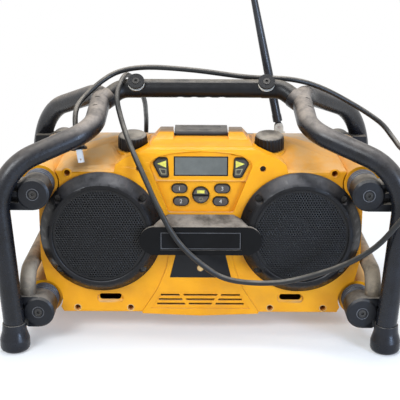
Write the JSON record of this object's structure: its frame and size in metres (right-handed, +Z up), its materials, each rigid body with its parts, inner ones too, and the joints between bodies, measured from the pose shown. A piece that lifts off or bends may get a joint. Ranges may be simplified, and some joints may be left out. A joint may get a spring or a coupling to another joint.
{
  "type": "jobsite radio",
  "caption": "Portable worksite radio: moulded body with twin speakers, display, keys and knobs, hung on rubber isolators in a bent-tube roll cage with handle, antenna and mains lead.",
  "frame": {"origin": "floor level under the centre of the footprint", "axes": "+X to the right of the radio seen from its front, +Y to the rear, +Z up"},
  "size_m": [0.5264, 0.3484, 0.5689],
  "materials": {
    "yellow_shell": "satin moulded plastic",
    "rear_shell": "dusty moulded plastic",
    "black_plastic": "satin black plastic",
    "grille_metal": "painted perforated sheet",
    "speaker_frame": "painted",
    "speaker_cone": "paper cone, stood in by plastic",
    "magnet": "ferrite",
    "lens": "clear grey window",
    "display": "display glass",
    "grey_key": "satin",
    "seek_key": "satin",
    "circuit_board": "coated board",
    "transformer": "laminations and tape",
    "steel": "bright",
    "control_case": "plated",
    "grey_knuckle": "light grey",
    "antenna_black": "rubber skin",
    "cage_black": "black coated tube",
    "rail_black": "dusty black tube",
    "grip_black": "rubber-coated tube",
    "foot_rubber": "moulded rubber",
    "isolator_rubber": "ribbed rubber",
    "bracket_black": "satin black",
    "screw": "black oxide",
    "cord_black": "flexible sheath",
    "blade_metal": "plated"
  },
  "bodies": {
    "radio": {"front_housing": "yellow_shell", "rear_housing": "rear_shell", "vent_panel": "yellow_shell", "speaker_ring_left": "black_plastic", "speaker_ring_right": "black_plastic", "grille_left": "grille_metal", "grille_right": "grille_metal", "speaker_basket_left": "speaker_frame", "speaker_basket_right": "speaker_frame", "speaker_cone_left": "speaker_cone", "speaker_cone_right": "speaker_cone", "speaker_magnet_left": "magnet", "speaker_magnet_right": "magnet", "nameplate": "black_plastic", "label_plate": "black_plastic", "display_lens": "lens", "display_module": "display", "keypad_board": "circuit_board", "volume_pot": "control_case", "tuning_encoder": "control_case", "latch_pin": "steel", "door_hinge_pin": "steel", "battery_terminals": "black_plastic", "main_board": "circuit_board", "transformer": "transformer", "aux_jack": "black_plastic", "antenna_base": "grey_knuckle", "antenna_pin": "steel", "cage_left": "cage_black", "cage_right": "cage_black", "rail_left": "rail_black", "rail_right": "rail_black", "handle": "grip_black", "cord_posts": "black_plastic", "feet": "foot_rubber", "front_brackets": "bracket_black", "rear_brackets": "bracket_black", "isolators": "isolator_rubber", "cage_screws": "screw", "case_screws": "screw", "power_cord": "cord_black", "strain_relief": "black_plastic", "plug_body": "black_plastic", "plug_blades": "blade_metal"},
    "volume_control": {"volume_knob": "black_plastic", "volume_shaft": "steel"},
    "tuning_control": {"tuning_knob": "black_plastic", "tuning_shaft": "steel"},
    "latch": {"top_latch": "black_plastic"},
    "door": {"battery_door": "black_plastic"},
    "antenna": {"antenna_whip": "antenna_black"},
    "preset_key_1_cap": {"preset_key_1": "grey_key"},
    "preset_key_2_cap": {"preset_key_2": "grey_key"},
    "preset_key_3_cap": {"preset_key_3": "grey_key"},
    "preset_key_4_cap": {"preset_key_4": "grey_key"},
    "seek_key_left_cap": {"seek_key_left": "seek_key"},
    "seek_key_right_cap": {"seek_key_right": "seek_key"},
    "mode_key_cap": {"mode_key": "grey_key"},
    "power_key_cap": {"power_key": "grey_key"}
  },
  "joints": [
    {"name": "preset_key_1_press", "type": "slide", "parent": "radio", "child": "preset_key_1_cap", "axis": [0, 0.9986, -0.0523], "range_m": [0, 0.0012], "stiffness_N_per_m": 600, "springref_m": -0.0008},
    {"name": "preset_key_2_press", "type": "slide", "parent": "radio", "child": "preset_key_2_cap", "axis": [0, 0.9986, -0.0523], "range_m": [0, 0.0012], "stiffness_N_per_m": 600, "springref_m": -0.0008},
    {"name": "preset_key_3_press", "type": "slide", "parent": "radio", "child": "preset_key_3_cap", "axis": [0, 0.9986, -0.0523], "range_m": [0, 0.0012], "stiffness_N_per_m": 600, "springref_m": -0.0008},
    {"name": "preset_key_4_press", "type": "slide", "parent": "radio", "child": "preset_key_4_cap", "axis": [0, 0.9986, -0.0523], "range_m": [0, 0.0012], "stiffness_N_per_m": 600, "springref_m": -0.0008},
    {"name": "seek_key_left_press", "type": "slide", "parent": "radio", "child": "seek_key_left_cap", "axis": [0, 0.9986, -0.0523], "range_m": [0, 0.0012], "stiffness_N_per_m": 600, "springref_m": -0.0008},
    {"name": "seek_key_right_press", "type": "slide", "parent": "radio", "child": "seek_key_right_cap", "axis": [0, 0.9986, -0.0523], "range_m": [0, 0.0012], "stiffness_N_per_m": 600, "springref_m": -0.0008},
    {"name": "mode_key_press", "type": "slide", "parent": "radio", "child": "mode_key_cap", "axis": [0, 0.9986, -0.0523], "range_m": [0, 0.0012], "stiffness_N_per_m": 600, "springref_m": -0.0008},
    {"name": "power_key_press", "type": "slide", "parent": "radio", "child": "power_key_cap", "axis": [0, 0.9986, -0.0523], "range_m": [0, 0.0012], "stiffness_N_per_m": 600, "springref_m": -0.0008},
    {"name": "volume_turn", "type": "hinge", "parent": "radio", "child": "volume_control", "pos_m": [-0.0875, -0.045, 0.2335], "axis": [0, -0.1736, 0.9848], "range_deg": [-150, 150]},
    {"name": "tuning_turn", "type": "hinge", "parent": "radio", "child": "tuning_control", "pos_m": [0.0875, -0.045, 0.2335], "axis": [0, -0.1736, 0.9848], "continuous": true},
    {"name": "latch_lift", "type": "hinge", "parent": "radio", "child": "latch", "pos_m": [0, -0.022, 0.247], "axis": [1, 0, 0], "range_deg": [0, 60]},
    {"name": "door_open", "type": "hinge", "parent": "radio", "child": "door", "pos_m": [0, 0.0985, 0.054], "axis": [-1, 0, 0], "range_deg": [0, 95]},
    {"name": "antenna_tilt", "type": "hinge", "parent": "radio", "child": "antenna", "pos_m": [0.108, 0.06, 0.238], "axis": [0, 1, 0], "range_deg": [-38, 27]}
  ]
}
